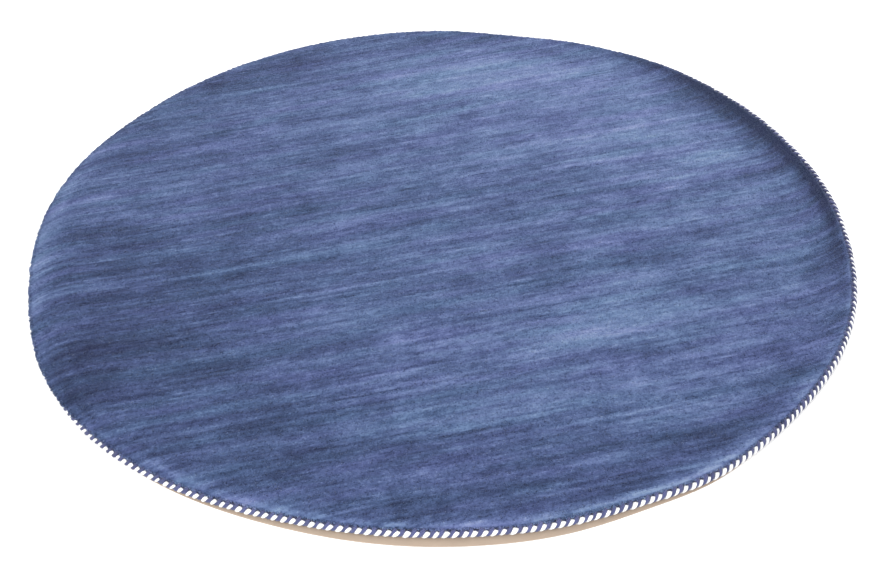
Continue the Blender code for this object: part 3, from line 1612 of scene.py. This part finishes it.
@dataclass(frozen=True)
class HandWork:
    """How far stitches wound by hand leave the usual one to either side.

    Attributes:
        angle: Of where they come up, in degrees.
        width: Of their width, as a share.
        thickness: Of their thickness, as a share.
        bulge: Of how far out they lie, in metres.
        slant: Of their slant, as a share.
        place: Of their place along the rim, in pitches.
        climb: Of how far they climb, as a share.
    """

    angle: float = 4.0
    width: float = 0.16
    thickness: float = 0.10
    bulge: float = 0.0003
    slant: float = 0.12
    place: float = 0.10
    climb: float = 0.14


@dataclass(frozen=True)
class Climb:
    """How the head of a climbing stitch goes up the pile's side, in metres.

    Attributes:
        share: The share of the stitch's length that climbs.
        gap: How far short of the lip's inset it stops.
        height: How far it rises.
        room: The lip's inset below which nothing shows of it, and the run over which it comes.
        lower: Where round the rug it climbs less.
    """

    share: float = 0.17
    gap: float = 0.0056
    height: float = 0.0062
    room: float = 0.004
    lower: Lobe = Lobe(-85, 52, 0.40)


@dataclass
class Overcasting:
    """The yarns wound over the rug's rim: a core and two rows of slanting stitches.

    Attributes:
        form: The rug's form.
        pairs: How many stitches there are of each yarn.
        sides: How many sides a stitch has round it.
        bends: How many straight runs it has along it.
        slant: How many pitches along the rim a full turn round the cord takes a stitch.
        last_angle: Where round the cord a stitch goes under, in degrees.
        stitch_length: How long its yarn is.
        dive: How deep in the rug its head starts.
        dive_share: The share of its length in which it comes out.
        foot_shadow: How much darker its foot is.
        foot_start: The share of its length where it starts to darken.
        foot_run: The share over which it darkens.
        core_sides: How many sides the core has round it.
        core_steps: How many steps it has round the rug.
        core_slimmer: How much its half width is less than the cord's.
        core_lower: How much its half height is less than the cord's.
        core_sink: How much further in it lies.
        core_tone: How light its yarn is.
        seed: Which random numbers to draw.
        hand: How uneven the stitches are.
        climb: How the climbing stitches start.
        shapes: The shape of each yarn's stitches.
        finishes: Each yarn's finish.
    """

    form: RugForm
    pairs: int = 352
    sides: int = 8
    bends: int = 12
    slant: float = 1.45
    last_angle: float = -150.0
    stitch_length: float = 0.034
    dive: float = 0.0022
    dive_share: float = 0.07
    foot_shadow: float = 0.34
    foot_start: float = 0.32
    foot_run: float = 0.28
    core_sides: int = 12
    core_steps: int = 360
    core_slimmer: float = 0.0012
    core_lower: float = 0.0010
    core_sink: float = 0.0006
    core_tone: float = 0.90
    seed: int = 5
    hand: HandWork = HandWork()
    climb: Climb = Climb()
    shapes: dict[Strand, StitchShape] = field(default_factory=stitch_shapes)
    finishes: dict[Strand, YarnFinish] = field(default_factory=yarn_finishes)

    # How far apart the copies of a stitch lie before they are wound. Each is 1 long.
    STRIDE = 2.0

    # How far apart on the yarn's map two stitches are, so that their fibres differ.
    MAP_JUMP = 0.1

    @property
    def pitch(self) -> float:
        """How many degrees apart two pairs of stitches are."""
        return 360.0 / self.pairs

    def core(self) -> bpy.types.Object:
        """Model the yarn-covered edge that shows between stitches.

        Returns:
            The piece.
        """
        form = self.form
        half_width = form.cord_half_width - self.core_slimmer
        half_height = form.cord_half_height - self.core_lower
        body = bmesh.new()
        ring = bmesh.ops.create_circle(body, segments=self.core_sides, radius=1.0)["verts"]
        for vert in ring:
            inset = form.cord_half_width + self.core_sink - vert.co.x * half_width
            vert.co = (form.radius - inset, 0.0, form.cord_height + vert.co.y * half_height)
        mesh = turned(body, self.core_steps, "edge_core")
        points = points_of(mesh)
        direction, inset = form.true_polar(points)
        round_cord = np.arctan2(points[:, 2] - form.cord_height, form.cord_half_width - inset)
        places = [round_cord * form.cord_half_height, np.radians(direction) * form.radius]
        lay_map(mesh, "yarn", np.stack(places, axis=-1))
        lay_values(mesh, "tone", np.full(len(points), self.core_tone))
        move_points(mesh, form.place(direction, inset, points[:, 2]))
        return shown("edge_core_yarn", mesh)

    def _template(self) -> bmesh.types.BMesh:
        """Model one straight stitch: X along it from 0 to 1, Y and Z round it with radius 1.

        Returns:
            The stitch.
        """
        body = bmesh.new()
        bmesh.ops.create_cone(
            body, cap_ends=True, segments=self.sides, radius1=1.0, radius2=1.0, depth=1.0,
            matrix=Matrix.Translation((0.5, 0.0, 0.0)) @ Matrix.Rotation(math.pi / 2, 4, "Y"),
        )
        long_edges = [edge for edge in body.edges if abs(edge.verts[0].co.x - edge.verts[1].co.x) > 0.5]
        bmesh.ops.subdivide_edges(body, edges=long_edges, cuts=self.bends - 1)
        return body

    def stitches(self, strand: Strand) -> bpy.types.Object:
        """Model all the stitches of one yarn.

        Args:
            strand: Which yarn.

        Returns:
            The joined piece.
        """
        shape = self.shapes[strand]
        mesh = arrayed(self._template(), self.pairs, self.STRIDE)
        local = points_of(mesh)
        number = np.floor((local[:, 0] + self.STRIDE / 4) / self.STRIDE).astype(int)
        share = np.clip(local[:, 0] - number * self.STRIDE, 0.0, 1.0)
        chance = np.random.default_rng(self.seed + strand.value).uniform(-1.0, 1.0, (self.pairs, 5))[number]
        move_points(mesh, self._wound(strand, local, number, share, chance))
        # Each stitch's tone: its yarn's lightness, a painted highlight round the front, random unevenness,
        # and a painted shadow towards its foot.
        tone = shape.tone + shape.painted_highlight.at(self.pitch * number) + shape.uneven_tone * chance[:, 2]
        foot = np.clip((share - self.foot_start) / self.foot_run, 0.0, 1.0)
        lay_values(mesh, "tone", tone * (1.0 - self.foot_shadow * foot))
        girth = np.arctan2(local[:, 2], local[:, 1]) * shape.half_width
        lay_map(mesh, "yarn", np.stack([share * self.stitch_length + number * self.MAP_JUMP, girth], axis=-1))
        with opened(mesh) as body:
            bmesh.ops.recalc_face_normals(body, faces=body.faces)
        return shown(f"overcast_{strand.name.lower()}_stitches", mesh)

    def _wound(
        self, strand: Strand, local: np.ndarray, number: np.ndarray, share: np.ndarray, chance: np.ndarray,
    ) -> np.ndarray:
        """Wind straight stitches round the cord.

        Args:
            strand: Which yarn they are of.
            local: Points on the straight stitches, a row of three for each.
            number: Which stitch each point is on.
            share: How far along its stitch each point is.
            chance: Five random numbers from -1 to 1 for each point, the same all over a stitch.

        Returns:
            The points round the rug, a row of three for each.
        """
        form = self.form
        hand = self.hand
        shape = self.shapes[strand]
        first = shape.first_angle + shape.further.at(self.pitch * number) + hand.angle * chance[:, 0]
        turn = np.radians(first + (self.last_angle - first) * share)
        swell = shape.swell(share) * (1.0 + hand.width * chance[:, 1])
        swell *= 1.0 + shape.fuller.at(self.pitch * number)
        side = local[:, 1] * shape.half_width * swell
        out = local[:, 2] * shape.half_thickness * shape.bulk(swell) * (1.0 + hand.thickness * chance[:, 2])
        out += hand.bulge * chance[:, 3] - self.dive * np.clip(1.0 - share / self.dive_share, 0.0, 1.0) ** 2
        middle = 1.0 - (shape.half_thickness + shape.sink) / form.cord_half_width
        slant = self.slant * self.pitch * (1.0 + hand.slant * chance[:, 4]) * turn / math.tau
        start = self.pitch * (number + 0.5 * strand.value + hand.place * chance[:, 3])
        lean = math.atan2(self.slant * self.pitch / 360.0 * form.radius, form.cord_half_width)
        direction = start + slant + np.degrees(side * math.cos(lean) / form.radius)
        direction = (direction + 180.0) % 360.0 - 180.0
        turn = turn - side * math.sin(lean) / form.cord_half_width
        inset = form.cord_half_width - (form.cord_half_width * middle + out) * np.cos(turn)
        height = form.cord_height + (form.cord_half_height * middle + out) * np.sin(turn)
        if shape.climbs:
            lip = form.lip(direction)
            climb = self._climb_at(direction, lip, share, chance[:, 1])
            inset = inset + (lip - self.climb.gap) * climb
            risen = np.sqrt(np.clip(climb, 0.0, None)) * (1.0 + hand.thickness * chance[:, 2])
            height = height + self.climb.height * risen
        return form.place(direction, inset, height)

    def _climb_at(
        self, direction: np.ndarray, lip: np.ndarray, share: np.ndarray, chance: np.ndarray,
    ) -> np.ndarray:
        """How much of its climb a climbing stitch has made.

        Args:
            direction: Directions in degrees.
            lip: How far in the pile's lip is there.
            share: How far along its stitch each point is.
            chance: One random number from -1 to 1 for each point, the same all over a stitch.

        Returns:
            One share for each point.
        """
        climb = self.climb
        made = np.clip(1.0 - share / climb.share, 0.0, 1.0)
        made *= np.clip((lip - climb.room) / climb.room, 0.0, 1.0)
        return made * (1.0 - climb.lower.at(direction) + self.hand.climb * chance)

    def build(self) -> list[bpy.types.Object]:
        """Model and dress the core and both yarns' stitches.

        Returns:
            The pieces.
        """
        core = riding(self.core(), self.finishes[Strand.BLUE].material())
        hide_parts("edge_binding")
        made = [core]
        for strand in Strand:
            piece = self.stitches(strand)
            made.append(riding(piece, self.finishes[strand].material()))
        return made


@dataclass
class BackingCloth:
    """The undyed cloth under the rug, a flat sheet that shows past the rim at the front.

    Attributes:
        form: The rug's form.
        finish: The cloth's canvas.
        inset: How far in from the outline its edge is.
        soft_edge: How far its edge is rounded.
        sharp_angle: From what angle an edge between faces stays sharp, in degrees.
        reach: How much further out its edge is.
        front_length: How much longer its flat size is than the rug's; not used.
        steps: How many steps it has round the rug.
    """

    form: RugForm
    finish: CanvasFinish
    inset: float = 0.008
    soft_edge: float = 0.0004
    sharp_angle: float = 50.0
    reach: tuple[Lobe, ...] = (Lobe(-89, 29, 0.0178),)
    front_length: float = 0.02
    steps: int = 360

    def _section(self) -> list[tuple[float, float]]:
        """The sheet's section, from its underside round its soft edge to its top.

        Returns:
            An inset and a height for each point.
        """
        form = self.form
        top = form.cloth_top
        soft = self.soft_edge
        inner = (form.rise_run, *reversed(form.underside_insets), form.cord_width + form.gap)
        return [
            *((inset, 0.0) for inset in inner),
            (self.inset + soft, 0.0),
            (self.inset, soft),
            (self.inset, top - soft),
            (self.inset + soft, top),
            *((inset, top) for inset in reversed(inner)),
        ]

    def build(self) -> bpy.types.Object:
        """Model and dress the cloth.

        Returns:
            The piece.
        """
        form = self.form
        body = bmesh.new()
        points = [body.verts.new((form.radius - inset, 0.0, height)) for inset, height in self._section()]
        for pair in zip(points, points[1:]):
            body.edges.new(pair)
        mesh = turned(body, self.steps, "cloth")
        flat = points_of(mesh)
        direction, inset = form.true_polar(flat)
        settled = form.place(direction, inset, flat[:, 2])
        past = np.where(inset < form.cord_width, lobe_sum(self.reach, direction), 0.0)
        settled[:, :2] += heading(direction) * past[:, None]
        move_points(mesh, settled)
        piece = riding(shown("backing_cloth_canvas", mesh), self.finish.material())
        mesh.set_sharp_from_angle(angle=math.radians(self.sharp_angle))
        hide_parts("backing_cloth")
        return piece


@dataclass(frozen=True)
class Softbox:
    """A square soft light, turned to the rug.

    Attributes:
        name: The light's name.
        place: Where it hangs.
        side: The length of its side, in metres.
        watts: Its power.
    """

    name: str
    place: tuple[float, float, float]
    side: float
    watts: float

    def hang(self) -> None:
        """Put the light into the scene."""
        lamp = bpy.data.lights.new(self.name, "AREA")
        lamp.shape = "SQUARE"
        lamp.size = self.side
        lamp.energy = self.watts
        holder = bpy.data.objects.new(self.name, lamp)
        holder.location = self.place
        holder.rotation_euler = (-Vector(self.place)).to_track_quat("-Z", "Y").to_euler()
        bpy.context.scene.collection.objects.link(holder)


@dataclass
class Studio:
    """A plain pale floor, soft light and the camera.

    Attributes:
        floor_size: The length of the floor's side, in metres.
        floor_depth: How far under the rug it lies.
        floor_colour: Its colour.
        floor_roughness: Its roughness.
        air_strength: How strong the even light is.
        softboxes: The soft lights.
        camera_place: Where the camera stands.
        look_down: How far down from level it looks, in degrees.
        tip: How far it is tipped to the side, in degrees.
        lens: Its focal length, in millimetres.
        sensor: The width of its sensor, in millimetres.
        view_range: The nearest and the furthest that it sees.
    """

    floor_size: float = 16.0
    floor_depth: float = 0.0002
    floor_colour: Colour = (0.92, 0.92, 0.92, 1.0)
    floor_roughness: float = 0.9
    air_strength: float = 1.15
    softboxes: tuple[Softbox, ...] = (
        Softbox("back_right_softbox", (1.2, 2.4, 2.6), 2.4, 110.0),
        Softbox("front_softbox", (-0.8, -3.0, 1.8), 2.4, 110.0),
    )
    camera_place: tuple[float, float, float] = (0.0, -1.6874, 1.2186)
    look_down: float = 39.74
    tip: float = -1.08
    lens: float = 45.0
    sensor: float = 36.0
    view_range: tuple[float, float] = (0.05, 50.0)

    def floor(self) -> None:
        """Lay the floor just under the rug."""
        body = bmesh.new()
        bmesh.ops.create_grid(body, x_segments=1, y_segments=1, size=self.floor_size / 2)
        bmesh.ops.translate(body, verts=body.verts, vec=(0.0, 0.0, -self.floor_depth))
        floor = shown("studio_floor", as_mesh(body, "studio_floor"))
        shader = Shader("studio_white")
        shader.cloth(self.floor_colour, self.floor_roughness, 0.0)
        floor.data.materials.append(shader.material)

    def air(self) -> None:
        """Fill the studio with even white light."""
        world = bpy.data.worlds.new("studio_air")
        world.use_nodes = True
        background = world.node_tree.nodes["Background"]
        background.inputs["Color"].default_value = UNTINTED
        background.inputs["Strength"].default_value = self.air_strength
        bpy.context.scene.world = world

    def camera(self) -> None:
        """Set the camera up in front of the rug, looking down at it."""
        lens = bpy.data.cameras.new("camera")
        lens.lens = self.lens
        lens.sensor_width = self.sensor
        lens.sensor_fit = "HORIZONTAL"
        lens.clip_start, lens.clip_end = self.view_range
        camera = bpy.data.objects.new("camera", lens)
        down = Matrix.Rotation(math.radians(90.0 - self.look_down), 4, "X")
        tip = Matrix.Rotation(math.radians(self.tip), 4, "Z")
        camera.matrix_world = Matrix.Translation(self.camera_place) @ down @ tip
        bpy.context.scene.collection.objects.link(camera)
        bpy.context.scene.camera = camera

    def build(self) -> None:
        """Set up the whole studio."""
        self.floor()
        self.air()
        for softbox in self.softboxes:
            softbox.hang()
        self.camera()
        bpy.context.scene.view_settings.view_transform = "Standard"


def main() -> None:
    """Build the rug's pieces and the studio, in order."""
    logging.basicConfig(level=logging.INFO, format="%(name)s: %(message)s")
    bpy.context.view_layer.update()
    form = RugForm()
    Studio().build()
    cloth = BackingCloth(form, CanvasFinish()).build()
    body = PileField(form, PileFinish())
    pile = body.build()
    body.dress(pile)
    made = [cloth, pile, *PileTufts(body).build(), *Overcasting(form).build()]
    for piece in made:
        LOG.info("%s: %d faces", piece.name, len(piece.data.polygons))


if __name__ == "__main__":
    main()
